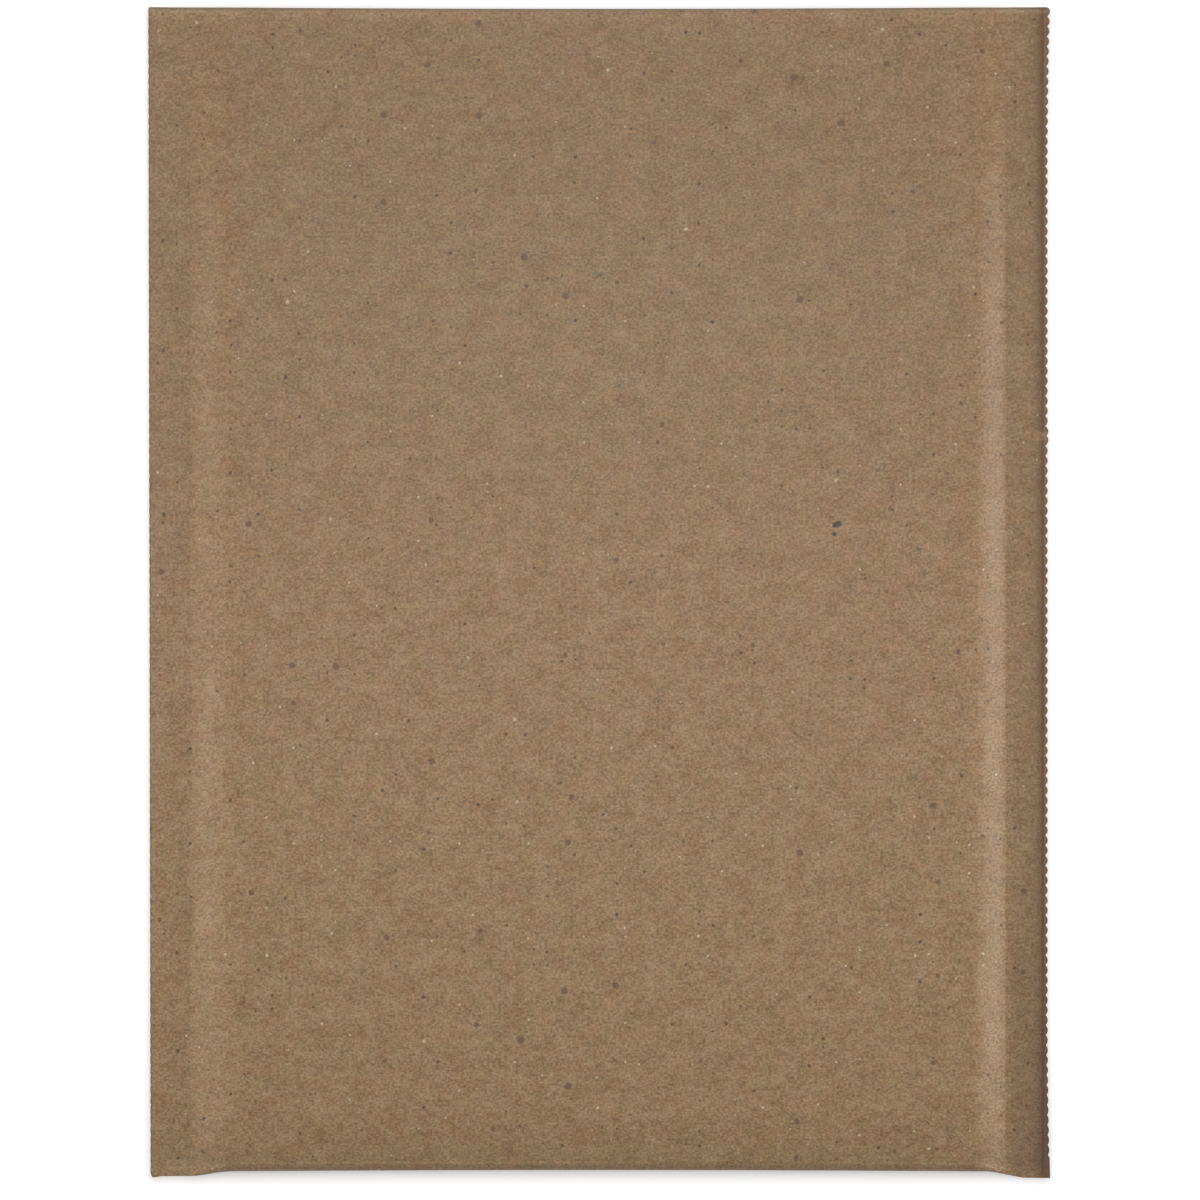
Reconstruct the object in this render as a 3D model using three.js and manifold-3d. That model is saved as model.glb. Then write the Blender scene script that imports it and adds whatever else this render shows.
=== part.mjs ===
// A padded mailing envelope of kraft paper with a bubble-film lining, lying face up on a table.
// Millimetres. +X is across the envelope towards its scalloped side, +Y is along it towards the
// closure flap, +Z is up. The origin is on the table under the middle of the envelope.

import * as THREE from "three";
import { mergeVertices, toCreasedNormals } from "three/addons/utils/BufferGeometryUtils.js";
import Module from "manifold-3d";

const wasm = await Module();
wasm.setup();

// Outline of the folded envelope
const WIDTH = 216.6;
const LENGTH = 281.6;
const SIDE_LEAN = 0.55; // the straight side runs inwards by this much towards the bottom
const TOP_SAG = 0.5; // the flap crease is drawn in by this much between the seams
const BOTTOM_SAG = 0.45; // and the bottom fold, apart from its corners
const LEFT_CORNER = 1.1; // how far each side seam stands out below the padded fold
const RIGHT_CORNER = 1.5;
const CORNER_BLEND = 10;

// Scalloped side, as the toothed knife leaves it
const TOOTH_PITCH = 2.4;
const TOOTH_DEPTH = 0.6;
const TOOTH_STEPS = 4;
const END_FLARE = 0.5; // the scalloped side stands out by this much at its two ends
const END_FLARE_LENGTH = 40;

// Side seams, and the slopes from them up to the padded panel
const LEFT_SEAM = 10;
const RIGHT_SEAM = 11.1;
const LEFT_SLOPE = 13;
const RIGHT_SLOPE = 9.2;
const LEFT_SOFTNESS = 1.35; // at 2 a slope leaves its seam gently, at 1 at once
const RIGHT_SOFTNESS = 1.3;
const CRIMP_INSET = 1.8; // the line pressed along the scalloped side
const CRIMP_WIDTH = 0.9;
const CRIMP_DEPTH = 0.12;

// Layers
const PAPER = 0.2;
const SEAM_FILM = 0.1;
const BUBBLE_HEIGHT = 3;
const FILM = 0.3;
const CONTENTS_GAP = 0.6; // between the two layers of the lining
const CLEARANCE = 0.3; // between separate pieces

// Bubbles, in staggered columns along the envelope
const BUBBLE_PITCH = 13.1;
const LINING_WELD = 1.5; // the two layers are joined over this width at each side
const SLOPE_FILL = 0.5; // height of the lining beside its bubbles, as a share of the room there
const SLOPE_COLUMNS = 3;

// Bottom fold
const FOLD_SQUASH = 0.75; // height of the bubbles in the fold, as a share of their full height
const FOLD_ROUNDNESS = 0.8; // depth of the rounded edge, as a share of its half height
const FOLD_RAMP = 16;
const FOLD_JOIN = 1; // from the rounded edge to the panels' first straight line

// Closure flap and mouth
const FLAP_DEPTH = 45;
const MOUTH_INSET = 4.2; // from the crease to the back panel's mouth edge
const LINING_INSET = 2; // from the mouth edge to the lining
const FRONT_RAMP = 55; // the front panel comes down to the crease over this length
const BACK_RAMP = 22; // the back panel comes up over the flap's free edge over this length

// Strips on the flap
const ADHESIVE_WIDTH = 12;
const ADHESIVE_THICKNESS = 0.15;
const ADHESIVE_END_INSET = 9;
const LINER_LIP = 2.5; // the liner is wider than the adhesive by this much at each edge
const LINER_THICKNESS = 0.1;
const LINER_END_LIP = 4;
const STRIP_INSET = 3.5; // from the flap's free edge, and from its bend, to the liner

// Rounded edges are drawn in this many steps a half, from this angle off their middle line
const FOLD_STEPS = 4;
const FIRST_FOLD_ANGLE = Math.PI / 12;

// Faces that meet at more than this are shaded as a sharp edge
const SHARP_ANGLE = Math.PI / 5;

// How far cutting bodies pass what they cut
const OVERSHOOT = 4;

// Places that follow from the sizes above
const liningInset = PAPER + CLEARANCE;
const panelHalf = liningInset + BUBBLE_HEIGHT + CONTENTS_GAP / 2;
const foldHalf = liningInset + BUBBLE_HEIGHT * FOLD_SQUASH + CONTENTS_GAP / 2;
const creaseHalf = liningInset + FILM + CONTENTS_GAP / 2;
const seamHalf = PAPER + SEAM_FILM / 2;
const middleZ = panelHalf;
const flapStack = PAPER + ADHESIVE_THICKNESS + LINER_THICKNESS + CLEARANCE;
const flapCreaseZ = middleZ - creaseHalf - CLEARANCE - PAPER;

const leftSeamX = -WIDTH / 2 + LEFT_SEAM;
const rightSeamX = WIDTH / 2 - RIGHT_SEAM;
const leftPanelX = leftSeamX + LEFT_SLOPE;
const rightPanelX = rightSeamX - RIGHT_SLOPE;
const crimpX = WIDTH / 2 - CRIMP_INSET;

const topY = LENGTH / 2;
const bottomY = -LENGTH / 2 + RIGHT_CORNER + BOTTOM_SAG;
const foldEndY = bottomY + foldHalf * FOLD_ROUNDNESS + FOLD_JOIN;
const panelStartY = bottomY + FOLD_RAMP;
const linerWidth = ADHESIVE_WIDTH + 2 * LINER_LIP;
const flapEdgeY = topY - FLAP_DEPTH;
const flapBendY = flapEdgeY + linerWidth + 2 * STRIP_INSET;
const stripY = (flapEdgeY + flapBendY) / 2;
const panelEndY = Math.min(topY - FRONT_RAMP, flapEdgeY - BACK_RAMP);
const mouthY = topY - TOP_SAG - MOUTH_INSET;
const liningTopY = mouthY - LINING_INSET;

const { clamp, lerp } = THREE.MathUtils;

// Goes from 0 to 1, level at both ends, as value goes from start to end.
function ease(value, start, end) {
  const t = clamp((value - start) / (end - start), 0, 1);
  return t * t * (3 - 2 * t);
}

// count equal steps from start to end, with both ends.
function steps(start, end, count) {
  return Array.from({ length: count + 1 }, (_, k) => lerp(start, end, k / count));
}

// The y of the bottom fold and of the flap crease at x.
function bottomEdge(x) {
  const left = LEFT_CORNER * ease(-x, -leftSeamX - CORNER_BLEND, -leftSeamX);
  const right = RIGHT_CORNER * ease(x, rightSeamX - CORNER_BLEND / 2, rightSeamX + CORNER_BLEND / 2);
  return bottomY - BOTTOM_SAG * bow(x) - left - right;
}

function topEdge(x) {
  return topY - TOP_SAG * (1 - bow(x));
}

// A parabola across the envelope: 0 in the middle and 1 at its sides.
function bow(x) {
  return Math.min(1, (2 * x / WIDTH) ** 2);
}

// How far the panels have risen from a seam, where it is 0, to the padded middle, where it is 1.
function padding(x) {
  const rise = (share, softness) => Math.sin((Math.PI / 2) * clamp(share, 0, 1)) ** softness;
  const left = rise((x - leftSeamX) / LEFT_SLOPE, LEFT_SOFTNESS);
  const right = rise((rightSeamX - x) / RIGHT_SLOPE, RIGHT_SOFTNESS);
  return Math.min(left, right);
}

// The two places across the envelope where the padding has risen to a share.
function paddingSpan(share) {
  const travel = (softness) => (2 / Math.PI) * Math.asin(Math.min(1, share) ** (1 / softness));
  return [
    leftSeamX + LEFT_SLOPE * travel(LEFT_SOFTNESS),
    rightSeamX - RIGHT_SLOPE * travel(RIGHT_SOFTNESS),
  ];
}

// Heights of the padded middle's faces over and under the seams' plane.
function frontHalf(y) {
  const fromFold = lerp(foldHalf, panelHalf, ease(y, bottomY, panelStartY));
  return lerp(creaseHalf, fromFold, ease(-y, -topY, FRONT_RAMP - topY));
}

function backHalf(y) {
  const fromFold = lerp(foldHalf, panelHalf, ease(y, bottomY, panelStartY));
  const overFlap = flapStack * ease(y, flapEdgeY - BACK_RAMP, flapEdgeY);
  return lerp(fromFold - overFlap, creaseHalf, ease(y, flapBendY, topY));
}

// Depth of the line pressed along the scalloped side.
function crimp(x) {
  return CRIMP_DEPTH * Math.max(0, 1 - Math.abs(x - crimpX) / (CRIMP_WIDTH / 2));
}

// Heights of the outer faces: front panel, back panel and flap.
function frontZ(x, y) {
  return middleZ + lerp(seamHalf, frontHalf(y), padding(x)) - crimp(x);
}

function backZ(x, y) {
  return middleZ - lerp(seamHalf, backHalf(y), padding(x));
}

function flapZ(y) {
  return flapCreaseZ * ease(y, flapBendY, topY);
}

// Rows of points across the sheet. Each is a function of x, and of how far its two faces are moved
// into the sheet, and gives y, the upper z and the lower z.
const foldAngles = steps(FIRST_FOLD_ANGLE, Math.PI / 2, FOLD_STEPS);

const foldRows = foldAngles.map((angle) => (x, inset) => {
  const round = lerp(seamHalf, foldHalf, padding(x));
  const depth = (round * FOLD_ROUNDNESS - inset) * (1 - Math.cos(angle));
  const rise = (round - inset) * Math.sin(angle);
  return [bottomEdge(x) + inset + depth, middleZ + rise, middleZ - rise];
});

const creaseRows = foldAngles.toReversed().map((angle) => (x, inset) => {
  const upper = frontZ(x, topY);
  const round = (upper - flapCreaseZ) / 2;
  const depth = (round - inset) * (1 - Math.cos(angle));
  const rise = (round - inset) * Math.sin(angle);
  return [topEdge(x) - inset - depth, upper - round + rise, upper - round - rise];
});

const panelRow = (y) => (x, inset) => [y, frontZ(x, y) - inset, backZ(x, y) + inset];
const mouthRow = (y) => (x, inset) => [y, frontZ(x, y) - inset, flapZ(y) + inset];
const flapRow = (y) => () => [y, flapZ(y) + PAPER, flapZ(y)];

const flapLines = [...steps(flapEdgeY, flapBendY, 2), ...steps(flapBendY, mouthY, 4).slice(1)];
const panelLines = [
  ...steps(foldEndY, panelStartY, 3),
  ...steps(panelEndY, flapEdgeY, 4),
  ...flapLines.slice(1),
];

// Lines across the sheet, close together on the slopes and at the pressed line.
const slopeShares = [0, 0.12, 0.28, 0.46, 0.68, 1];
const pocketXs = [
  ...slopeShares.map((share) => leftSeamX + share * LEFT_SLOPE),
  ...steps(leftPanelX, rightPanelX, 8).slice(1, -1),
  ...slopeShares.map((share) => rightSeamX - share * RIGHT_SLOPE).reverse(),
];
const sheetXs = [
  -WIDTH / 2 - OVERSHOOT,
  ...pocketXs,
  rightSeamX + CORNER_BLEND / 2,
  ...steps(crimpX - CRIMP_WIDTH / 2, crimpX + CRIMP_WIDTH / 2, 2),
  WIDTH / 2 + OVERSHOOT,
];

// A closed mesh as a body that can be joined and cut.
function solid(geometry) {
  geometry.deleteAttribute("normal");
  geometry.deleteAttribute("uv");
  const merged = mergeVertices(geometry);
  return new wasm.Manifold(new wasm.Mesh({
    numProp: 3,
    vertProperties: merged.attributes.position.array,
    triVerts: new Uint32Array(merged.index.array),
  }));
}

// A closed body between an upper and a lower sheet on one grid. place(i, j) gives a grid point as
// [x, y, upper z, lower z], where x grows with i and y grows with j.
function slab(columns, rows, place) {
  const points = [];
  for (let j = 0; j < rows; j++) {
    for (let i = 0; i < columns; i++) points.push(place(i, j));
  }
  const upper = points.flatMap(([x, y, z]) => [x, y, z]);
  const lower = points.flatMap(([x, y, , z]) => [x, y, z]);
  const index = [];
  const quad = (a, b, c, d) => index.push(a, b, c, a, c, d);
  for (let j = 1; j < rows; j++) {
    for (let i = 1; i < columns; i++) {
      const d = j * columns + i - 1;
      const corners = [d - columns, d - columns + 1, d + 1, d];
      if (j % 2) corners.push(corners.shift());
      quad(...corners);
      quad(...corners.map((corner) => corner + points.length).reverse());
    }
  }
  const last = points.length - 1;
  const rim = [
    ...steps(0, columns - 1, columns - 1).slice(1),
    ...steps(columns - 1, last, rows - 1).slice(1),
    ...steps(last, last - columns + 1, columns - 1).slice(1),
    ...steps(last - columns + 1, 0, rows - 1).slice(1),
  ].map(Math.round);
  rim.forEach((b, k) => {
    const a = rim.at(k - 1);
    quad(a, a + points.length, b + points.length, b);
  });
  const geometry = new THREE.BufferGeometry();
  geometry.setAttribute("position", new THREE.Float32BufferAttribute([...upper, ...lower], 3));
  geometry.setIndex(index);
  return solid(geometry);
}

// A slab through lines across and rows along the sheet, with its faces moved in by inset.
function sheetSlab(xs, rows, inset) {
  return slab(xs.length, rows.length, (i, j) => [xs[i], ...rows[j](xs[i], inset)]);
}

// A column of paper inside the knife's cut: straight on the left, scalloped on the right.
function knifeCut() {
  const startY = -LENGTH / 2 - OVERSHOOT;
  const teeth = Math.ceil((LENGTH + 2 * OVERSHOOT) / TOOTH_PITCH);
  const endY = startY + teeth * TOOTH_PITCH;
  const tipX = (y) => {
    const fromEnd = Math.min(Math.max(0, LENGTH / 2 - Math.abs(y)) / END_FLARE_LENGTH, 1);
    return WIDTH / 2 - END_FLARE * (1 - (1 - fromEnd) ** 2);
  };
  const outline = new THREE.Shape();
  outline.moveTo(tipX(startY) - TOOTH_DEPTH, startY);
  for (let k = 0; k < teeth; k++) {
    const y = startY + k * TOOTH_PITCH;
    const notchY = y + TOOTH_PITCH;
    const tipY = y + TOOTH_PITCH / 2;
    outline.quadraticCurveTo(tipX(tipY) + TOOTH_DEPTH, tipY, tipX(notchY) - TOOTH_DEPTH, notchY);
  }
  const leftX = (y) => -WIDTH / 2 + SIDE_LEAN * (topY - y) / LENGTH;
  outline.lineTo(leftX(topY), endY);
  outline.lineTo(leftX(topY), topY);
  outline.lineTo(leftX(-topY), -topY);
  outline.lineTo(leftX(-topY), startY);
  const depth = 2 * (middleZ + OVERSHOOT);
  const column = new THREE.ExtrudeGeometry(outline, { depth, bevelEnabled: false, curveSegments: TOOTH_STEPS });
  return solid(column.translate(0, 0, middleZ - depth / 2));
}

// The kraft sheet: both panels, the bottom fold between them, the crease and the flap.
function kraftEnvelope() {
  const closureRows = [mouthRow(mouthY), ...creaseRows];
  const panels = sheetSlab(sheetXs, [...foldRows, ...panelLines.map(panelRow)], 0);
  const closure = sheetSlab(sheetXs, closureRows, 0);
  const flap = sheetSlab(sheetXs, flapLines.map(flapRow), 0);
  const pocket = sheetSlab(pocketXs, [...foldRows, ...panelLines.map(panelRow)], PAPER);
  const mouth = sheetSlab(sheetXs, closureRows, PAPER);
  return panels.add(closure).add(flap).intersect(knifeCut()).subtract(pocket).subtract(mouth);
}

// The span across the envelope where the panels leave room for both layers of the lining's film.
function liningSpan(y) {
  const room = Math.min(frontHalf(y), backHalf(y)) - seamHalf;
  return paddingSpan((creaseHalf - seamHalf) / room);
}

// The lining: one sheet folded like the paper, with a low six-sided dome for each bubble. The net's
// points are a third of the way between bubbles, so that every third one is a bubble's top.
function bubbleLining() {
  const netStep = BUBBLE_PITCH / Math.sqrt(3);
  const rowStep = BUBBLE_PITCH / 2;
  const netSteps = Math.floor((rightPanelX - leftPanelX) / netStep - 0.5);
  const netLeftX = (leftPanelX + rightPanelX - (netSteps + 0.5) * netStep) / 2;
  const netRows = Math.floor((liningTopY - foldEndY) / rowStep);
  const netLines = steps(liningTopY - netRows * rowStep, liningTopY, netRows);
  const columns = netSteps + 1 + 2 * SLOPE_COLUMNS;
  const rows = [...foldRows, ...netLines.map(panelRow)];
  const rowYs = [...foldRows.map(() => bottomY), ...netLines];
  const film = CONTENTS_GAP / 2 + FILM;

  const outside = slab(columns, rows.length, (i, j) => {
    const shifted = (j + 1) % 2;
    const net = i - SLOPE_COLUMNS;
    const [leftX, rightX] = liningSpan(rowYs[j]);
    let x = netLeftX + (net + shifted / 2) * netStep;
    if (net < 0) x = lerp(leftX, leftPanelX, i / SLOPE_COLUMNS);
    if (net > netSteps) x = lerp(rightX, rightPanelX, (columns - 1 - i) / SLOPE_COLUMNS);
    const [y, upper, lower] = rows[j](x, liningInset);
    if (j < foldRows.length) return [x, y, upper, lower];
    const inNet = net >= 0 && net <= netSteps;
    const top = net % 3 === shifted ? 1 : 0;
    const share = inNet ? top : SLOPE_FILL;
    return [x, y, lerp(middleZ + film, upper, share), lerp(middleZ - film, lower, share)];
  });

  const contentsLines = [bottomY + liningInset + BUBBLE_HEIGHT * FOLD_SQUASH, ...netLines, topY];
  const contents = slab(2, contentsLines.length, (i, j) => {
    const y = contentsLines[j];
    const x = liningSpan(y)[i] + (i ? -LINING_WELD : LINING_WELD);
    return [x, y, middleZ + CONTENTS_GAP / 2, middleZ - CONTENTS_GAP / 2];
  });
  return outside.subtract(contents);
}

// A flat strip along the flap, lying on the height z.
function strip(endInset, width, thickness, z) {
  const geometry = new THREE.BoxGeometry(WIDTH - 2 * endInset, width, thickness);
  return geometry.translate(0, stripY, z + thickness / 2);
}

// A body's surface, with its sharp edges kept sharp in the shading.
function surface(body) {
  const { vertProperties, triVerts } = body.getMesh();
  const geometry = new THREE.BufferGeometry();
  geometry.setAttribute("position", new THREE.BufferAttribute(vertProperties, 3));
  geometry.setIndex(new THREE.BufferAttribute(triVerts, 1));
  return toCreasedNormals(geometry, SHARP_ANGLE);
}

function part(name, geometry, material) {
  const mesh = new THREE.Mesh(geometry, new THREE.MeshStandardMaterial(material));
  mesh.name = name;
  return mesh;
}

const envelope = new THREE.Group();

envelope.add(
  part("kraft_envelope", surface(kraftEnvelope()), { color: 0x937a60, roughness: 0.9, metalness: 0 }),
  part("bubble_lining", surface(bubbleLining()), { color: 0xdde4e8, roughness: 0.25, metalness: 0 }),
  part(
    "adhesive_strip",
    strip(ADHESIVE_END_INSET, ADHESIVE_WIDTH, ADHESIVE_THICKNESS, PAPER),
    { color: 0xe6dcc2, roughness: 0.35, metalness: 0 },
  ),
  part(
    "release_liner",
    strip(ADHESIVE_END_INSET - LINER_END_LIP, linerWidth, LINER_THICKNESS, PAPER + ADHESIVE_THICKNESS),
    { color: 0xf1efe9, roughness: 0.5, metalness: 0 },
  ),
);

export default envelope;
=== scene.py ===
# A padded mailing envelope of kraft paper with a bubble film lining, lying face up on a white table.
# Metres. +X is across the envelope towards its scalloped side, +Y is along it towards the closure
# flap's crease, +Z is up. The origin is on the table under the middle of the envelope.

import bpy
import numpy as np
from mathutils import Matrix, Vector


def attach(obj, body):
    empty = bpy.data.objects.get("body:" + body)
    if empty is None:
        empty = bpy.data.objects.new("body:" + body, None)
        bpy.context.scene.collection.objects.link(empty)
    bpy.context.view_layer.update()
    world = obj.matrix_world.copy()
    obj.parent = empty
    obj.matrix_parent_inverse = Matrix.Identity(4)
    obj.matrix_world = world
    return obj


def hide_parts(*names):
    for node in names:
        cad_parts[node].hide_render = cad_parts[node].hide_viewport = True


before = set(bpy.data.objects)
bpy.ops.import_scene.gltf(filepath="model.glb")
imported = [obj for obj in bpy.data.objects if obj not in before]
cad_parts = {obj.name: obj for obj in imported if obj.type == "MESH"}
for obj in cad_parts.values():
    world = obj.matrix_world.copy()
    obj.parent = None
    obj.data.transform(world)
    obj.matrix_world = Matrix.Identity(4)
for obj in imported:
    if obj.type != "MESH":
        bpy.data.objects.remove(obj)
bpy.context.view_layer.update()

MM = 0.001


# Camera: straight above the table, with a long lens, as in the photograph.
PIXEL = 0.2404 * MM  # what a pixel of the photograph spans in the plane of the seams
FRAME_PIXELS = 1200
CAMERA_X = 0.29 * MM  # the middle of the frame
CAMERA_Y = -1.85 * MM
SEAM_Z = 3.8 * MM
LENS = 100
SENSOR = 36

camera_data = bpy.data.cameras.new("camera")
camera_data.lens = LENS
camera_data.sensor_width = SENSOR
camera_data.clip_start = 0.01
camera = bpy.data.objects.new("camera", camera_data)
camera.location = (CAMERA_X, CAMERA_Y, SEAM_Z + FRAME_PIXELS * PIXEL * LENS / SENSOR)
bpy.context.scene.collection.objects.link(camera)
bpy.context.scene.camera = camera
bpy.context.scene.view_settings.view_transform = "Standard"


# Light: a soft lamp overhead, a low one at each side, a weak one beyond the bottom fold, and a faint
# glow from all round. Seen by the camera, the room is white.
ROOM_GLOW = 0.05
LAMPS = {
    "scalloped side lamp": ((0.73, -0.03, 0.16), 0.35, 5.2),
    "straight side lamp": ((-0.73, -0.03, 0.16), 0.35, 4.6),
    "high lamp": ((0.0, 0.12, 0.5), 0.35, 1.85),
    "fold lamp": ((0.0, -0.5, 0.4), 0.35, 0.35),
}


def colour(code):
    """The sRGB hex code as linear red, green and blue, and an alpha of 1."""
    srgb = np.array([int(code[k:k + 2], 16) for k in (1, 3, 5)]) / 255
    linear = np.where(srgb <= 0.04045, srgb / 12.92, ((srgb + 0.055) / 1.055) ** 2.4)
    return (*linear.tolist(), 1.0)


def add(tree, kind, inputs=None, **settings):
    """Adds a node with its settings. An input is a value, a socket, or a node, by its first output."""
    node = tree.nodes.new(kind)
    for name, value in settings.items():
        setattr(node, name, value)
    for name, value in (inputs or {}).items():
        shown = [s for s in node.inputs if s.enabled]
        socket = shown[name] if isinstance(name, int) else next(s for s in shown if s.name == name)
        if isinstance(value, bpy.types.Node):
            value = next(s for s in value.outputs if s.enabled)
        if isinstance(value, bpy.types.NodeSocket):
            tree.links.new(value, socket)
        else:
            socket.default_value = value
    return node


def new_tree(owner):
    """An empty node tree for a material or the world."""
    owner.use_nodes = True
    owner.node_tree.nodes.clear()
    return owner.node_tree


def seen_directly(tree):
    """1 for a ray that the camera, a reflection or a clear material sends to the background, otherwise 0."""
    path = add(tree, "ShaderNodeLightPath")
    camera_ray, glossy_ray = path.outputs["Is Camera Ray"], path.outputs["Is Glossy Ray"]
    either_ray = add(tree, "ShaderNodeMath", {0: camera_ray, 1: glossy_ray}, operation="MAXIMUM")
    through = path.outputs["Is Transmission Ray"]
    return add(tree, "ShaderNodeMath", {0: either_ray, 1: through}, operation="MAXIMUM")


room = bpy.data.worlds.new("white room")
bpy.context.scene.world = room
tree = new_tree(room)
glow = add(tree, "ShaderNodeBackground", {"Color": colour("#ffffff"), "Strength": ROOM_GLOW})
white = add(tree, "ShaderNodeBackground", {"Color": colour("#ffffff"), "Strength": 1.0})
either = add(tree, "ShaderNodeMixShader", {0: seen_directly(tree), 1: glow, 2: white})
add(tree, "ShaderNodeOutputWorld", {"Surface": either})

for name, (place, size, power) in LAMPS.items():
    lamp_data = bpy.data.lights.new(name, "AREA")
    lamp_data.shape = "SQUARE"
    lamp_data.size = size
    lamp_data.energy = power
    lamp = bpy.data.objects.new(name, lamp_data)
    lamp.location = place
    lamp.rotation_euler = (-Vector(place)).to_track_quat("-Z", "Y").to_euler()
    bpy.context.scene.collection.objects.link(lamp)


# Table: white, and lit to the same white as the room behind it, so that only shadow shows on it.
TABLE_SIZE = 4.0
TABLE_LIFT = 0.31  # added to what the camera sees of the lit table
TABLE_Z = -0.05 * MM  # just clear of the paper that lies on it

table_mesh = bpy.data.meshes.new("table")
half = TABLE_SIZE / 2
corners = [(-half, -half, TABLE_Z), (half, -half, TABLE_Z), (half, half, TABLE_Z), (-half, half, TABLE_Z)]
table_mesh.from_pydata(corners, [], [(0, 1, 2, 3)])
table = bpy.data.objects.new("table", table_mesh)
bpy.context.scene.collection.objects.link(table)
table_white = bpy.data.materials.new("matt white table")
tree = new_tree(table_white)
matt = add(tree, "ShaderNodeBsdfDiffuse", {"Color": colour("#f2f2f2")})
lift = add(tree, "ShaderNodeMath", {0: seen_directly(tree), 1: TABLE_LIFT}, operation="MULTIPLY")
lifted = add(tree, "ShaderNodeEmission", {"Color": colour("#ffffff"), "Strength": lift})
add(tree, "ShaderNodeOutputMaterial", {"Surface": add(tree, "ShaderNodeAddShader", {0: matt, 1: lifted})})
table_mesh.materials.append(table_white)


# Kraft envelope: one sheet of recycled kraft paper. It runs from the flap's free edge under the
# envelope, over the crease, down the front, round the padded fold and back up to the mouth. Both
# side seams are sealed under heat, and the one on the +X side is cut by a toothed knife.
WIDTH = 216.6 * MM
LENGTH = 281.6 * MM
SIDE_LEAN = 0.55 * MM  # the straight side runs inwards by this much towards the bottom
TOP_SAG = 0.5 * MM  # the crease is drawn in by this much between the seams
BOTTOM_SAG = 0.45 * MM  # and the bottom fold, apart from its corners
LEFT_CORNER = 1.1 * MM  # how far each side seam stands out below the padded fold
RIGHT_CORNER = 1.5 * MM
CORNER_BLEND = 10 * MM
TOOTH_PITCH = 2.4 * MM
TOOTH_DEPTH = 0.6 * MM
NICK_DEPTH = 0.1 * MM  # fine nicks along the straight side
KNIFE_START = -144.8 * MM  # the y of a notch, below the sheet, from which the knife's steps count
TIP_X = 107.92 * MM  # the teeth's tips, half way along
END_FLARE = 0.55 * MM  # the scalloped side stands out by this much at its two ends
END_FLARE_LENGTH = 40 * MM
LEFT_SEAM = 10 * MM
RIGHT_SEAM = 10.4 * MM
LEFT_SLOPE = 13 * MM  # from each seam up to the padded panel
RIGHT_SLOPE = 9.2 * MM
LEFT_SOFTNESS = 1.35  # at 2 a slope leaves its seam gently, at 1 at once
RIGHT_SOFTNESS = 1.3
CRIMP_INSET = 1.8 * MM  # the line pressed along the scalloped side
CRIMP_WIDTH = 0.9 * MM
CRIMP_DEPTH = 0.15 * MM
PAPER = 0.2 * MM
PANEL_HALF = 3.8 * MM  # half of the envelope's thickness in its padded middle
FOLD_HALF = 3.05 * MM  # at the bottom fold
CREASE_HALF = 1.1 * MM  # at the crease
SEAM_HALF = 0.25 * MM  # and in the sealed seams
FOLD_ROUNDNESS = 0.8  # the fold's reach outwards, as a share of its half thickness
FOLD_RAMP = 16 * MM  # from the fold up to the full thickness
FLAP_CREASE_Z = 2.2 * MM
FLAP_EDGE_Y = 95.8 * MM  # the flap's free edge
FLAP_BEND_Y = 119.8 * MM  # from here the flap rises to the crease
FLAP_STACK = 0.75 * MM  # the flap with its strips, which the back lies over
MOUTH_Y = 136.1 * MM
FRONT_RAMP = 55 * MM  # from the full thickness down to the crease, on the front
BACK_RAMP = 22 * MM  # and up over the flap's edge, on the back
TOOTHLESS_END = 5.3 * MM  # the knife's teeth stop this short of the bottom corner
SHALLOW_END = 75 * MM  # over this length the teeth grow shallower towards it
SHALLOW_TEETH = 0.6  # the last teeth's depth, as a share of the full depth
ROUNDED_CORNER = 0.7 * MM
NOTCH_SPACING = 0.05 * MM  # between lines of the mesh where a notch squeezes them
PUSHED_Y = 37.6 * MM  # a couple of teeth are pushed outwards here
PUSHED_OUT = 0.29 * MM
PUSHED_LENGTH = 1.5 * MM
COCKLE = 0.12 * MM  # the slack paper's waves
SEALED = 1.5 * SEAM_HALF  # paper this near the seams' middle plane is sealed together
STEPS_PER_TOOTH = 4
ARC_STEPS = 16
PANEL_COLUMNS = 30
EDGE_COLUMNS = 6  # the groove's lines of the mesh and the scalloped edge
THINNED_COLUMNS = 2  # the inner face keeps each second line of the mesh
THINNED_ROWS = 4

TOP_Y = LENGTH / 2
BOTTOM_Y = -LENGTH / 2 + RIGHT_CORNER + BOTTOM_SAG
LEFT_SEAM_X = -WIDTH / 2 + LEFT_SEAM
RIGHT_SEAM_X = WIDTH / 2 - RIGHT_SEAM
CRIMP_X = WIDTH / 2 - CRIMP_INSET


def ease(value, start, end):
    """Goes from 0 to 1, level at both ends, as value goes from start to end."""
    t = np.clip((value - start) / (end - start), 0, 1)
    return t * t * (3 - 2 * t)


def lerp(start, end, share):
    """The value at a share of the way from start to end."""
    return start + (end - start) * share


def bow(x):
    """A parabola across the envelope: 0 in the middle and 1 at its sides."""
    return np.minimum(1, (2 * x / WIDTH) ** 2)


def bottom_edge(x):
    """The bottom fold's y: a shallow curve that steps outwards at each side seam."""
    left = LEFT_CORNER * ease(-x, -LEFT_SEAM_X - CORNER_BLEND, -LEFT_SEAM_X)
    right = RIGHT_CORNER * ease(x, RIGHT_SEAM_X - CORNER_BLEND / 2, RIGHT_SEAM_X + CORNER_BLEND / 2)
    return BOTTOM_Y - BOTTOM_SAG * bow(x) - left - right


def top_edge(x):
    """The crease's y: drawn in by TOP_SAG between the seams."""
    return TOP_Y - TOP_SAG * (1 - bow(x))


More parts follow.
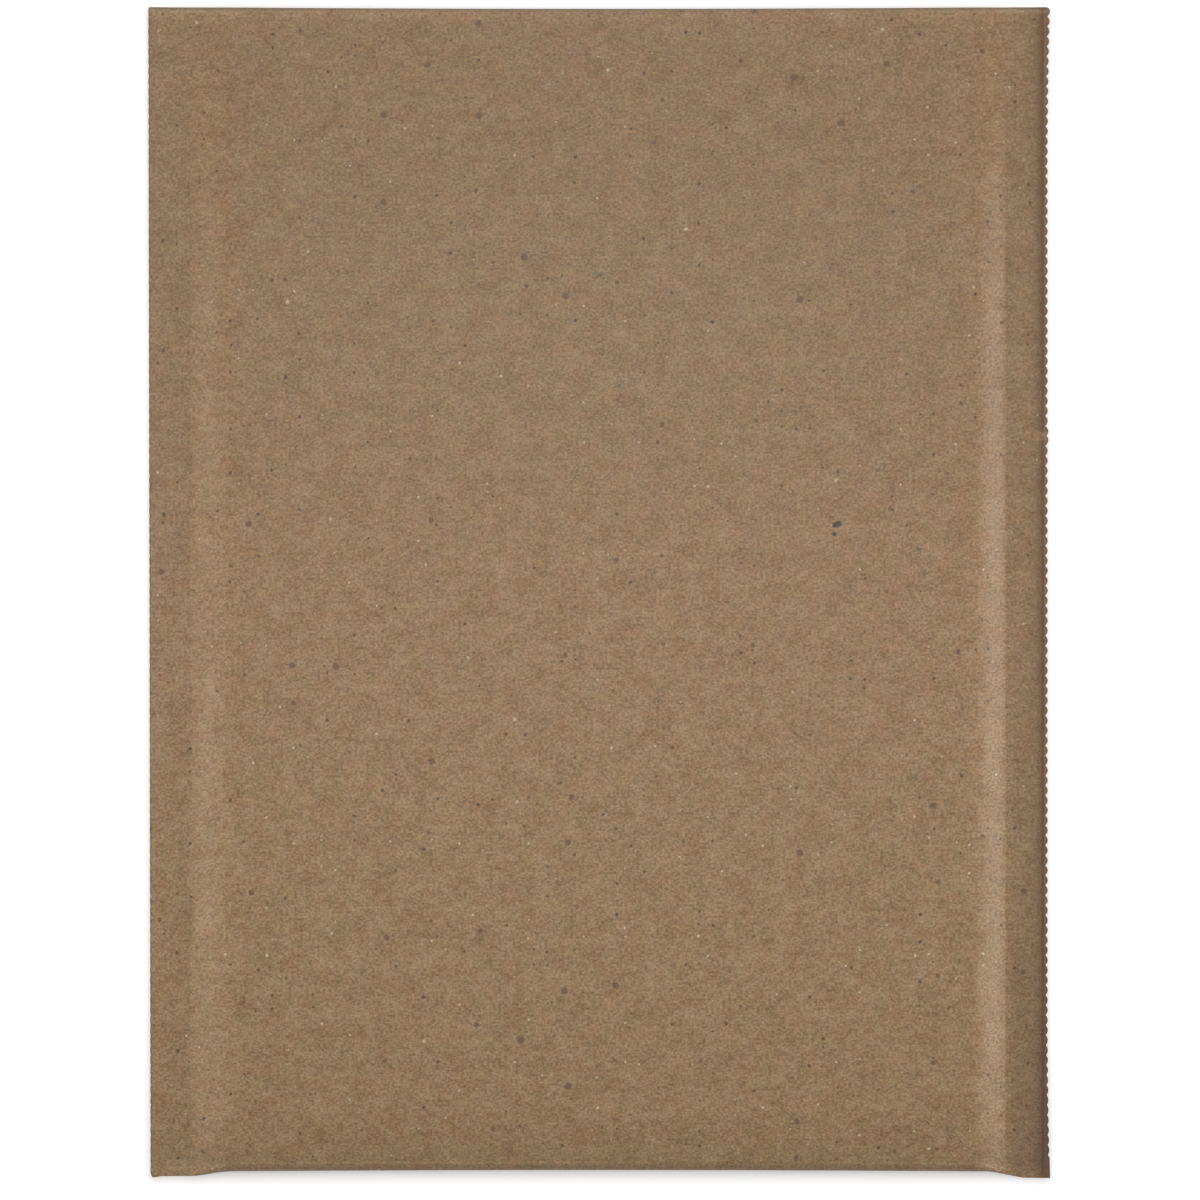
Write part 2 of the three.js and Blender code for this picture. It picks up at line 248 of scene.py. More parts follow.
def padding(x):
    """How far the panels have risen from a seam, 0, to the padded middle, 1: a quarter sine to a power."""
    left = np.sin(np.pi / 2 * np.clip((x - LEFT_SEAM_X) / LEFT_SLOPE, 0, 1)) ** LEFT_SOFTNESS
    right = np.sin(np.pi / 2 * np.clip((RIGHT_SEAM_X - x) / RIGHT_SLOPE, 0, 1)) ** RIGHT_SOFTNESS
    return np.minimum(left, right)


def front_z(x, y):
    """The front's height: level, then down to the fold and, over a longer ramp, to the crease, with waves."""
    from_fold = lerp(FOLD_HALF, PANEL_HALF, ease(y, BOTTOM_Y, BOTTOM_Y + FOLD_RAMP))
    half = lerp(CREASE_HALF, from_fold, ease(-y, -TOP_Y, FRONT_RAMP - TOP_Y))
    waves = np.sin(x / (19 * MM) + 1.5 * np.sin(y / (43 * MM))) + np.sin(y / (23 * MM) + x / (61 * MM))
    slack = COCKLE * (waves / 2 - 1) * ease(half, CREASE_HALF, PANEL_HALF)
    groove = CRIMP_DEPTH * np.maximum(0, 1 - np.abs(x - CRIMP_X) / (CRIMP_WIDTH / 2))
    return PANEL_HALF + lerp(SEAM_HALF, half + slack, padding(x)) - groove


def back_z(x, y):
    """The back's height: level on the table, lifted over the flap and its strips."""
    from_fold = lerp(FOLD_HALF, PANEL_HALF, ease(y, BOTTOM_Y, BOTTOM_Y + FOLD_RAMP))
    over_flap = FLAP_STACK * ease(y, FLAP_EDGE_Y - BACK_RAMP, FLAP_EDGE_Y)
    half = lerp(from_fold - over_flap, CREASE_HALF, ease(y, FLAP_BEND_Y, TOP_Y))
    return PANEL_HALF - lerp(SEAM_HALF, half, padding(x))


def cut_line(y):
    """The scalloped side's mean x: it stands out towards both ends."""
    from_end = np.clip((LENGTH / 2 - np.abs(y)) / END_FLARE_LENGTH, 0, 1)
    return TIP_X + END_FLARE * (1 - from_end) ** 2 - TOOTH_DEPTH / 2


def scallop(y):
    """A tooth's outline: parabolas with sharp notches between them, from -1 in a notch to 1 at a tip."""
    t = np.mod((y - KNIFE_START) / TOOTH_PITCH, 1)
    return 8 * t * (1 - t) - 1


def corner_cut(depth):
    """How far a rounded corner lies inside a square one, at a depth from the corner's end: an arc's rise."""
    short = np.clip(1 - depth / ROUNDED_CORNER, 0, 1)
    return ROUNDED_CORNER * (1 - np.sqrt(1 - short ** 2))


def grid_mesh(name, grids):
    """A mesh from grids of points, each with a material index. A point is x, y, z and its flat values."""
    verts, flat, faces, materials = [], [], [], []
    start = 0
    for points, material in grids:
        rows, columns = points.shape[:2]
        corner = start + np.arange(rows * columns).reshape(rows, columns)
        quads = np.stack([corner[:-1, :-1], corner[1:, :-1], corner[1:, 1:], corner[:-1, 1:]], -1)
        quads = quads.reshape(-1, 4)
        verts.append(points[..., :3].reshape(-1, 3))
        flat.append(points[..., 3:].reshape(-1, 3))
        faces.append(quads)
        materials.append(np.full(len(quads), material))
        start += rows * columns
    mesh = bpy.data.meshes.new(name)
    mesh.from_pydata(np.concatenate(verts), [], np.concatenate(faces).tolist())
    mesh.polygons.foreach_set("material_index", np.concatenate(materials).astype(np.int32))
    flat_values = mesh.attributes.new("flat", "FLOAT_VECTOR", "POINT").data
    flat_values.foreach_set("vector", np.concatenate(flat).ravel())
    mesh.shade_smooth()
    mesh.update()
    return mesh


def every(count, step):
    """Each step-th index of a count, and the last one."""
    return np.append(np.arange(0, count - 1, step), count - 1)


def sheet_mesh(name, outside, inside, kept_rows):
    """A thin sheet from the points of its two faces, the inner one thinned, with its four edges closed."""
    thinned = inside[kept_rows][:, every(inside.shape[1], THINNED_COLUMNS)]
    return grid_mesh(name, [
        (outside, 0),
        (thinned[::-1], 0),
        (np.stack([outside[:, 0], inside[:, 0]]), 1),
        (np.stack([inside[:, -1], outside[:, -1]]), 1),
        (np.stack([inside[0], outside[0]]), 1),
        (np.stack([outside[-1], inside[-1]]), 1),
    ])


# Lines of the mesh along the sheet: close together at the start of each slope and in the groove.
BESIDE_SLOPE = 0.15 * MM
slope_shares = np.array([0, 0.02, 0.06, 0.14, 0.24, 0.36, 0.5, 0.66, 0.83, 1])
groove_xs = CRIMP_X + CRIMP_WIDTH * np.array([-0.5, -0.25, 0, 0.25, 0.5])
xs = np.concatenate([
    [-WIDTH / 2, -WIDTH / 2 + 1 * MM, -WIDTH / 2 + 5 * MM, LEFT_SEAM_X - BESIDE_SLOPE],
    LEFT_SEAM_X + slope_shares * LEFT_SLOPE,
    np.linspace(LEFT_SEAM_X + LEFT_SLOPE, RIGHT_SEAM_X - RIGHT_SLOPE, PANEL_COLUMNS)[1:-1],
    RIGHT_SEAM_X - slope_shares[::-1] * RIGHT_SLOPE,
    [RIGHT_SEAM_X + BESIDE_SLOPE, RIGHT_SEAM_X + 4 * MM],
    groove_xs,
    [TIP_X],
])

# Rows along the sheet, at the knife's steps, and at both ends turning to follow the crease and the fold.
row_step = TOOTH_PITCH / STEPS_PER_TOOTH
knife_rows = KNIFE_START + row_step * np.arange(int(2 * TOP_Y / row_step) + STEPS_PER_TOOTH * 4)
round_crease = (front_z(xs, TOP_Y) - FLAP_CREASE_Z) / 2
round_fold = lerp(SEAM_HALF, FOLD_HALF, padding(xs))
crease_start = top_edge(xs) - round_crease
fold_start = bottom_edge(xs) + round_fold * FOLD_ROUNDNESS
straight_top = crease_start.min() - row_step / 2
straight_bottom = fold_start.max() + row_step / 2


def rows_between(low, high):
    """The knife's steps between two heights, each as a straight row across the sheet."""
    inside = knife_rows[(knife_rows > low) & (knife_rows < high)]
    return np.repeat(inside[:, None], len(xs), 1)


def rows_towards(line, start):
    """Rows from the straight row at start to the curved line, at the knife's steps on the scalloped side."""
    low, high = sorted((start, line[-1]))
    inside = knife_rows[(knife_rows > low) & (knife_rows < high)]
    if line[-1] < start:
        inside = inside[::-1]
    return start + np.outer(inside - start, (line - start) / (line[-1] - start))


near_crease = np.concatenate([rows_towards(crease_start, straight_top), crease_start[None]])
near_fold = np.concatenate([rows_towards(fold_start, straight_bottom), fold_start[None]])
panel_rows = rows_between(straight_bottom, straight_top)

flap_edge = np.full((1, len(xs)), FLAP_EDGE_Y)
mouth_edge = np.full((1, len(xs)), MOUTH_Y)
flap_ys = np.concatenate([flap_edge, rows_between(FLAP_EDGE_Y, straight_top), near_crease])
flap_zs = FLAP_CREASE_Z * ease(flap_ys, FLAP_BEND_Y, crease_start)
front_ys = np.concatenate([near_crease[-2::-1], panel_rows[::-1], near_fold[:-1]])
back_ys = np.concatenate([near_fold[-2::-1], rows_between(straight_bottom, MOUTH_Y), mouth_edge])

turn = np.linspace(-np.pi / 2, np.pi / 2, ARC_STEPS + 1)[:, None]
crease_ys = top_edge(xs) - round_crease * (1 - np.cos(turn[1:]))
crease_zs = front_z(xs, TOP_Y) - round_crease * (1 - np.sin(turn[1:]))
fold_ys = bottom_edge(xs) + round_fold * FOLD_ROUNDNESS * (1 - np.cos(turn))
fold_zs = PANEL_HALF - round_fold * np.sin(turn)

ys = np.concatenate([flap_ys, crease_ys, front_ys, fold_ys, back_ys])
zs = np.concatenate([flap_zs, crease_zs, front_z(xs, front_ys), fold_zs, back_z(xs, back_ys)])
across = np.repeat(xs[None], len(ys), 0)
left_ys = ys[:, 0]
right_ys = ys[:, -1]
nick = NICK_DEPTH * (1 - scallop(left_ys)) / 2
lean = SIDE_LEAN * (TOP_Y - left_ys) / LENGTH
across[:, 0] = -WIDTH / 2 + lean + nick + corner_cut(left_ys - bottom_edge(-WIDTH / 2))
toothed = ease(right_ys, TOOTHLESS_END - LENGTH / 2 - row_step, TOOTHLESS_END - LENGTH / 2)
pushed = PUSHED_OUT * np.exp(-((right_ys - PUSHED_Y) / PUSHED_LENGTH) ** 2)
toothed *= lerp(SHALLOW_TEETH, 1, ease(right_ys, -LENGTH / 2, SHALLOW_END - LENGTH / 2))
teeth = TOOTH_DEPTH / 2 * lerp(1, scallop(right_ys), toothed)
across[:, -1] = cut_line(right_ys) + teeth + pushed - corner_cut(TOP_Y - right_ys)
groove = slice(-EDGE_COLUMNS, -1)
squeezed = across[:, -1:] - NOTCH_SPACING * np.arange(EDGE_COLUMNS - 1, 0, -1)
across[:, groove] = np.minimum(across[:, groove], squeezed)
outer = np.stack([across, ys, zs], -1)

# The inner face lies a paper's thickness inside. In the seams it lies in the middle of the sealed stack.
facing = np.cross(np.gradient(outer, axis=0), np.gradient(outer, axis=1))
facing /= np.linalg.norm(facing, axis=-1, keepdims=True)
sealed = (padding(across) == 0) & (np.abs(zs - PANEL_HALF) < SEALED) & (ys < MOUTH_Y + PAPER / 2)
inner = outer - facing * np.where(sealed, SEAM_HALF, PAPER)[..., None]

# The flat values: place across and along the uncreased sheet, and distance in from the nearer side.
# Each line across has its own length along, and all of them agree half way along each panel.
crease_at = len(flap_ys)
front_at = crease_at + len(crease_ys)
fold_at = front_at + len(front_ys)
back_at = fold_at + len(fold_ys)
fold_middle = fold_at + ARC_STEPS // 2
lengths = np.linalg.norm(np.diff(outer[..., 1:], axis=0), axis=2)
along = np.concatenate([np.zeros((1, len(xs))), np.cumsum(lengths, axis=0)])
for rows, level in (
    (slice(0, fold_middle), (front_at + fold_at) // 2),
    (slice(fold_middle, None), (back_at + len(ys)) // 2),
):
    along[rows] += along[level, len(xs) // 2] - along[level]
from_side = np.minimum(across - across[:, :1], across[:, -1:] - across)
flat = np.stack([across, along, from_side], -1)
outside = np.concatenate([outer, flat], -1)
inside = np.concatenate([inner, flat], -1)

# The inner face keeps the rows that end in a notch, and some of each curve's.
kept = scallop(right_ys) < -0.99
kept[[0, -1]] = True
kept[crease_at - 1:crease_at + ARC_STEPS:THINNED_ROWS] = True
kept[fold_at:fold_at + ARC_STEPS + 1:THINNED_ROWS] = True

kraft_mesh = sheet_mesh("kraft_paper_envelope", outside, inside, np.flatnonzero(kept))

# Recycled kraft: a fine grain of fibres, drifts of red and of yellow fibre in the pulp, dark specks
# of bark and ink, a few stray hairs and pale flecks. Its nodes take places in millimetres, so the
# lengths that aren't multiplied by MM are in millimetres too.
MARK_CORE = 0.6  # a mark is full up to this share of its reach, and fades from there
WANDER = 0.8  # how far the outline of a large fleck strays
FRONT_FROM = 3.9  # the front lies above these heights, and the back below them
FRONT_TO = 4.1
SEAM_SHADE_FROM = RIGHT_SEAM_X / MM + 0.3  # the x where the painted shade on the seam begins
SEAM_SHADE_TO = RIGHT_SEAM_X / MM + 3
LINE_EDGE = 107.5  # the x from which the pressed line's tones and the groove's painted shade are placed
LINE_FADE = 8.0  # how far in from there they reach
PUSHED_FROM = 0.6  # from the pushed teeth, where the pressed line begins again
PUSHED_TO = 1.4
LOST_LINE = 0.4  # what is left of the pressed line beside the pushed teeth
TEETH_INNER = 0.65  # the teeth's own band, as a distance in from LINE_EDGE
TEETH_OUTER = 0.4
LOW_FROM = 72.0  # below these heights the teeth are darker
LOW_TO = 36.0
CREASE_HIGHLIGHT_FROM = 279.6  # above these heights the crease has a painted highlight
CREASE_HIGHLIGHT_TO = 280.4
CREASE_HIGHLIGHT = 0.09
RIM_INNER = 0.45  # the painted shade along the very edge of both sides
RIM_OUTER = 0.05
BUBBLE_PITCH = 13.1 * MM
COLUMN_PITCH = BUBBLE_PITCH * 3 ** 0.5 / 2
COLUMN_X = 0.29 * MM
SWELL_FROM = 92.0  # the bubbles' swell ends at the lining's sides
SWELL_TO = 84.0
SWELL = 1.5  # the heights of the swell and of the grain, as multiples of RELIEF
GRAIN_RELIEF = 1.5
RELIEF = 0.03 * MM

kraft = bpy.data.materials.new("recycled kraft paper")
tree = new_tree(kraft)
sheet = add(tree, "ShaderNodeAttribute", attribute_name="flat")
place = add(tree, "ShaderNodeVectorMath", {0: sheet.outputs["Vector"], "Scale": 1 / MM}, operation="SCALE")
wander = add(tree, "ShaderNodeTexNoise", {"Vector": place, "Scale": 0.9, "Detail": 1.0},
             noise_dimensions="2D")


def mottle(size, detail=2.0, rough=0.5, stretch=1.0, shift=0.0):
    """The pulp's unevenness, with features of about size, drawn out by stretch across the envelope."""
    drawn = add(tree, "ShaderNodeMapping", {
        "Vector": place, "Location": (shift, shift / 2, 0), "Scale": (1 / stretch, 1, 1)})
    return add(tree, "ShaderNodeTexNoise", {
        "Vector": drawn, "Scale": 1 / size, "Detail": detail, "Roughness": rough}, noise_dimensions="2D")


def cells(width, height, turn=0.0, bend=0.4, shift=0.0):
    """Uneven cells of about a width and height: the distance to a cell's middle, and two random numbers."""
    moved = add(tree, "ShaderNodeVectorMath", {0: wander.outputs["Color"], 1: (bend, bend, 0), 2: place},
                operation="MULTIPLY_ADD")
    turned = add(tree, "ShaderNodeMapping", {
        "Vector": moved, "Location": (shift, shift / 3, 0), "Rotation": (0, 0, turn)})
    scaled = add(tree, "ShaderNodeVectorMath", {0: turned, 1: (1 / width, 1 / height, 1)},
                 operation="MULTIPLY")
    voronoi = add(tree, "ShaderNodeTexVoronoi", {"Vector": scaled, "Scale": 1.0}, voronoi_dimensions="2D")
    random = add(tree, "ShaderNodeSeparateColor", {0: voronoi.outputs["Color"]})
    return voronoi.outputs["Distance"], random.outputs["Red"], random.outputs["Green"]


def marks(grid, first, last, size, strength):
    """Spots up to size of a cell across, in the cells whose random number is from first to last."""
    distance, number, length = grid
    reach = add(tree, "ShaderNodeMath", {0: length, 1: size, 2: size / 3}, operation="MULTIPLY_ADD")
    out = add(tree, "ShaderNodeMath", {0: distance, 1: reach}, operation="DIVIDE")
    inside = add(tree, "ShaderNodeMapRange", {
        "Value": out, "From Min": 1.0, "From Max": MARK_CORE, "To Max": strength},
        interpolation_type="SMOOTHSTEP")
    middle, half = (first + last) / 2, (last - first) / 2
    chosen = add(tree, "ShaderNodeMath", {0: number, 1: middle, 2: half}, operation="COMPARE")
    return add(tree, "ShaderNodeMath", {0: inside, 1: chosen}, operation="MULTIPLY")


def fleck(x, y, width, height):
    """1 inside an uneven oval about a place on the front, 0 outside it and on the back."""
    middle = (x + WANDER / 2, y + WANDER / 2, 0)  # the noise is 0.5 on average
    from_middle = add(tree, "ShaderNodeVectorMath", {0: bent_front, 1: middle}, operation="SUBTRACT")
    scaled = add(tree, "ShaderNodeVectorMath", {0: from_middle, 1: (2 / width, 2 / height, 0)},
                 operation="MULTIPLY")
    out = add(tree, "ShaderNodeVectorMath", {0: scaled}, operation="LENGTH").outputs["Value"]
    inside = add(tree, "ShaderNodeMapRange", {"Value": out, "From Min": 1.0, "From Max": MARK_CORE},
                 interpolation_type="SMOOTHSTEP")
    return add(tree, "ShaderNodeMath", {0: inside, 1: facing_up}, operation="MULTIPLY")


def total(*parts, start=0.0):
    """start plus each value times its weight, measured from the value's middle, 0.5."""
    result = start
    for value, weight in parts:
        part = add(tree, "ShaderNodeMath", {0: value, 1: weight, 2: -weight / 2}, operation="MULTIPLY_ADD")
        result = add(tree, "ShaderNodeMath", {0: part, 1: result}, operation="ADD")
    return result


def dyed(under, code, value, start, end, most=1.0, blend="MIX"):
    """The colour under, changed towards a hex code by 0 to most as value goes from start to end."""
    share = add(tree, "ShaderNodeMapRange", {
        "Value": value, "From Min": start, "From Max": end, "To Max": most}, interpolation_type="SMOOTHSTEP")
    return add(tree, "ShaderNodeMix", {"Factor": share, "A": under, "B": colour(code)},
               data_type="RGBA", blend_type=blend)


def shaded(under, value, length, stops, share=1.0):
    """The colour under, times a tone that follows value, 0 to length, through stops of (place, hex code)."""
    reached = add(tree, "ShaderNodeMath", {0: value, 1: length}, operation="DIVIDE")
    shade = add(tree, "ShaderNodeValToRGB", {0: reached})
    elements = shade.color_ramp.elements
    for (far, code), element in zip(stops, (elements[0], elements[1])):
        element.position = far / length
        element.color = colour(code)
    for far, code in stops[2:]:
        elements.new(far / length).color = colour(code)
    return add(tree, "ShaderNodeMix", {"Factor": share, "A": under, "B": shade},
               data_type="RGBA", blend_type="MULTIPLY")


grain = mottle(0.55, 1.0, 0.6, 1.25)
fibres = mottle(1.6, 2.0, 0.6, 1.5, 31.0)
formation = mottle(6.0, 1.0, 0.6, 1.2, 57.0)
tone = total((grain, 0.85), (fibres, 0.5), (formation, 0.24), start=0.32)
pulp = add(tree, "ShaderNodeMix", {"Factor": tone, "A": colour("#62441f"), "B": colour("#b69b7b")},
           data_type="RGBA")
pulp = dyed(pulp, "#fff6f2", mottle(4.0, 1.0, 0.5, 1.0, 11.0), 0.42, 0.7, blend="MULTIPLY")
pulp = dyed(pulp, "#fafbee", mottle(4.5, 1.0, 0.5, 1.0, 83.0), 0.42, 0.7, blend="MULTIPLY")
small = cells(3.3, 3.3)
large = cells(11.0, 11.0, shift=41.0)
thin = cells(5.0, 0.8, 0.6, 2.2, 23.0)
for grid, first, last, size, strength, code in (
    (small, 0.0, 0.3, 0.11, 0.4, "#57452f"),  # smudges
    (small, 0.3, 0.4, 0.12, 0.9, "#3a2410"),  # specks of bark and ink
    (small, 0.94, 1.0, 0.08, 0.6, "#dccfb9"),  # pale flecks
    (large, 0.0, 0.2, 0.075, 0.75, "#4a2f18"),  # flakes of bark
    (large, 0.9, 1.0, 0.04, 0.5, "#d2c4ae"),  # large pale flecks
    (thin, 0.0, 0.003, 0.35, 0.6, "#43342a"),  # hairs
):
    share = marks(grid, first, last, size, strength)
    pulp = add(tree, "ShaderNodeMix", {"Factor": share, "A": pulp, "B": colour(code)}, data_type="RGBA")

# The few large flecks, where they lie on the front: x, y, width and height, and colour.
FLECKS = (
    (57.2, 16.3, 3.0, 1.9, "#41301f"),
    (56.3, 16.0, 1.2, 1.0, "#150b04"),
    (57.0, 16.7, 1.2, 0.8, "#20140a"),
    (56.3, 13.9, 1.3, 1.3, "#080402"),
    (104.6, 137.6, 0.8, 0.7, "#2f2115"),
    (103.7, 93.6, 0.8, 0.8, "#34251a"),
    (76.7, 10.4, 1.4, 1.1, "#5a4632"),
    (-9.3, -45.6, 1.5, 1.0, "#4f3a28"),
    (-42.0, -61.5, 1.3, 1.2, "#4f3a28"),
    (-17.3, 73.2, 1.2, 1.4, "#54402c"),
    (-0.7, 76.3, 1.8, 1.2, "#6c6458"),
    (86.0, -14.3, 1.2, 1.5, "#4f3a28"),
    (20.9, 86.9, 1.2, 0.7, "#c4b296"),
)
metres = add(tree, "ShaderNodeTexCoord").outputs["Object"]
front = add(tree, "ShaderNodeVectorMath", {0: metres, "Scale": 1 / MM}, operation="SCALE")
bent_front = add(tree, "ShaderNodeVectorMath", {0: wander.outputs["Color"], 1: (WANDER, WANDER, 0), 2: front},
                 operation="MULTIPLY_ADD")
axes = add(tree, "ShaderNodeSeparateXYZ", {0: front})
facing_up = add(tree, "ShaderNodeMapRange", {
    "Value": axes.outputs["Z"], "From Min": FRONT_FROM, "From Max": FRONT_TO},
    interpolation_type="SMOOTHSTEP")
for x, y, width, height, code in FLECKS:
    share = fleck(x, y, width, height)
    pulp = add(tree, "ShaderNodeMix", {"Factor": share, "A": pulp, "B": colour(code)}, data_type="RGBA")

# Painted shade: the sheet is darkened towards both ends, short of their very edges, and on the seam beside
# the scalloped side's slope.
above_fold = add(tree, "ShaderNodeMath", {0: axes.outputs["Y"], 1: LENGTH / 2 / MM}, operation="ADD")
seam_shade_share = add(tree, "ShaderNodeMapRange", {
    "Value": axes.outputs["X"], "From Min": SEAM_SHADE_FROM, "From Max": SEAM_SHADE_TO},
    interpolation_type="SMOOTHSTEP")
pulp = shaded(pulp, above_fold, LENGTH / MM, (
    (0, "#ffffff"), (2.6, "#ffffff"), (3.4, "#f5f3f2"), (4.4, "#ebeae7"), (8, "#f5f3f1"),
    (16, "#fbfaf9"), (48, "#fdfdfc"), (90, "#fcfcfb"), (114, "#fcfafb"), (150, "#f9f6f5"),
    (174, "#f3f0ed"), (205, "#f0edea"), (230, "#ede9e5"), (262, "#efebe8"), (277, "#efebe8"),
    (279.3, "#fcf9f7"), (281.6, "#ffffff"),
))
# Painted shade on the seam beside the scalloped side's slope, darkest low down.
pulp = shaded(pulp, above_fold, LENGTH / MM, (
    (0, "#e0dcd9"), (16, "#e1dedb"), (48, "#eae7e3"), (91, "#f3f1ee"), (139, "#f7f6f3"),
    (182, "#ffffff"), (221, "#ffffff"), (262, "#fcfbfa"), (275, "#f9f7f5"),
), seam_shade_share)

# The jaws pressed a dark line just inside the teeth. Its colour and the painted shade of the groove beside it
# fade inwards, and low down the teeth are darker too. The line is lost where teeth are pushed out. Both sides
# have painted shade along their very edge.
from_line = add(tree, "ShaderNodeMath", {0: LINE_EDGE, 1: axes.outputs["X"]}, operation="SUBTRACT")
past_push = add(tree, "ShaderNodeMath", {0: axes.outputs["Y"], 1: PUSHED_Y / MM}, operation="SUBTRACT")
from_push = add(tree, "ShaderNodeMath", {0: past_push}, operation="ABSOLUTE")
regained = add(tree, "ShaderNodeMapRange", {
    "Value": from_push, "From Min": PUSHED_FROM, "From Max": PUSHED_TO, "To Max": 1 - LOST_LINE},
    interpolation_type="SMOOTHSTEP")
pulp = shaded(pulp, from_line, LINE_FADE, (
    (0.0, "#d2c8b4"), (0.23, "#dad0bb"), (0.38, "#dcc8ad"), (0.5, "#b18f54"), (1.0, "#a8884b"),
    (1.19, "#bca886"), (1.43, "#b8af9b"), (1.67, "#c0baaa"), (2.15, "#d7cdb6"), (2.64, "#e3e1d7"),
    (3.36, "#eceae7"), (4.32, "#f6f5f0"), (5.28, "#fcfafa"), (6.7, "#ffffff"),
), add(tree, "ShaderNodeMath", {0: regained, 1: LOST_LINE}, operation="ADD"))
in_teeth = add(tree, "ShaderNodeMapRange", {
    "Value": from_line, "From Min": TEETH_INNER, "From Max": TEETH_OUTER}, interpolation_type="SMOOTHSTEP")
low_down = add(tree, "ShaderNodeMapRange", {
    "Value": above_fold, "From Min": LOW_FROM, "From Max": LOW_TO}, interpolation_type="SMOOTHSTEP")
low_teeth = add(tree, "ShaderNodeMath", {0: in_teeth, 1: low_down}, operation="MULTIPLY")
pulp = add(tree, "ShaderNodeMix", {"Factor": low_teeth, "A": pulp, "B": colour("#e1d3cb")},
           data_type="RGBA", blend_type="MULTIPLY")
# A painted highlight along the crease.
pulp = dyed(pulp, "#d9cbb8", above_fold, CREASE_HIGHLIGHT_FROM, CREASE_HIGHLIGHT_TO, CREASE_HIGHLIGHT)
on_sheet = add(tree, "ShaderNodeSeparateXYZ", {0: place})
# Painted shade along the very edge of both sides.
pulp = dyed(pulp, "#c4beb8", on_sheet.outputs["Z"], RIM_INNER, RIM_OUTER, blend="MULTIPLY")

# The surface: the fibres' own relief, and the faint swell of the bubbles behind the paper.
column_turn = add(tree, "ShaderNodeMath", {
    0: on_sheet.outputs["X"], 1: np.pi * MM / COLUMN_PITCH, 2: -np.pi * COLUMN_X / COLUMN_PITCH},
    operation="MULTIPLY_ADD")
row_turn = add(tree, "ShaderNodeMath", {0: on_sheet.outputs["Y"], 1: 2 * np.pi * MM / BUBBLE_PITCH},
               operation="MULTIPLY")
columns = add(tree, "ShaderNodeMath", {0: column_turn}, operation="COSINE")
rows = add(tree, "ShaderNodeMath", {0: row_turn}, operation="COSINE")
aside = add(tree, "ShaderNodeMath", {0: on_sheet.outputs["X"]}, operation="ABSOLUTE")
over_lining = add(tree, "ShaderNodeMapRange", {
    "Value": aside, "From Min": SWELL_FROM, "From Max": SWELL_TO}, interpolation_type="SMOOTHSTEP")
lattice = add(tree, "ShaderNodeMath", {0: columns, 1: rows}, operation="MULTIPLY")
swell = add(tree, "ShaderNodeMath", {0: lattice, 1: over_lining}, operation="MULTIPLY")
relief = add(tree, "ShaderNodeMath", {0: grain, 1: GRAIN_RELIEF}, operation="MULTIPLY")
rise = add(tree, "ShaderNodeMath", {0: swell, 1: SWELL, 2: relief}, operation="MULTIPLY_ADD")
bump = add(tree, "ShaderNodeBump", {"Height": rise, "Strength": 1.0, "Distance": RELIEF})
rough = total((fibres, 0.2), start=0.6)
paper = add(tree, "ShaderNodeBsdfPrincipled", {"Base Color": pulp, "Roughness": rough, "Normal": bump})
add(tree, "ShaderNodeOutputMaterial", {"Surface": paper})

# The cut edge: paler, where the knife opened the fibres.
cut_edge = bpy.data.materials.new("cut kraft edge")
tree = new_tree(cut_edge)
metres = add(tree, "ShaderNodeTexCoord").outputs["Object"]
layers = add(tree, "ShaderNodeTexNoise", {"Vector": metres, "Scale": 1 / (0.4 * MM), "Detail": 2.0})
fibre_ends = add(tree, "ShaderNodeMix", {"Factor": layers, "A": colour("#8d7256"), "B": colour("#b59c80")},
                 data_type="RGBA")
add(tree, "ShaderNodeOutputMaterial", {"Surface": add(tree, "ShaderNodeBsdfPrincipled", {
    "Base Color": fibre_ends, "Roughness": 0.85})})

kraft_mesh.materials.append(kraft)
kraft_mesh.materials.append(cut_edge)
envelope = bpy.data.objects.new("kraft_paper_envelope", kraft_mesh)
bpy.context.scene.collection.objects.link(envelope)
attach(envelope, "root")
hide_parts("kraft_envelope")


# Bubble lining: one sheet of clear bubble film, folded like the paper, with its bubbles towards it.
# A bubble is round and swells until it meets the paper, so most have flat tops.
FILM_HALF = 0.42 * MM  # from the middle between the two layers to the film's bubbled face
INNER_HALF = 0.3 * MM  # and to its smooth face
BUBBLE_RADIUS = 5 * MM
BUBBLE_HEIGHT = 3 * MM
PAPER_GAP = 0.3 * MM
LINING_LEFT = -94 * MM
LINING_RIGHT = 95 * MM
LINING_TOP = 134.1 * MM
LINING_FOLD = -136.1 * MM
WELD = 2 * MM  # along its edges the film is flat
STEPS_PER_BUBBLE = 10
TURN_STEPS = 8

column_step = COLUMN_PITCH / STEPS_PER_BUBBLE
lining_xs = np.linspace(LINING_LEFT, LINING_RIGHT, int((LINING_RIGHT - LINING_LEFT) / column_step))
straight = LINING_TOP - LINING_FOLD
down = np.linspace(0, straight, int(straight * STEPS_PER_BUBBLE / BUBBLE_PITCH))
turning = np.linspace(0, np.pi, TURN_STEPS + 1)[1:-1]
angles = np.concatenate([np.zeros(len(down)), turning, np.full(len(down), np.pi)])[:, None]
turning_ys = np.full(len(turning), LINING_FOLD)
centre_ys = np.concatenate([LINING_TOP - down, turning_ys, LINING_FOLD + down])[:, None]
paths = np.concatenate([down, straight + turning * FILM_HALF, straight + np.pi * FILM_HALF + down])[:, None]

# The room from the middle plane to the paper: an ellipse in the fold, through the rooms above and beyond it.
spacing = PAPER + PAPER_GAP
room_above = front_z(lining_xs, centre_ys) - PANEL_HALF - spacing
room_below = PANEL_HALF - back_z(lining_xs, centre_ys) - spacing
room_beyond = LINING_FOLD - bottom_edge(lining_xs) - spacing
upright = np.where(angles < np.pi / 2, room_above, room_below)
reach_up = np.cos(angles) / np.maximum(upright, PAPER / 2)
free_room = 1 / np.sqrt(reach_up ** 2 + (np.sin(angles) / room_beyond) ** 2)

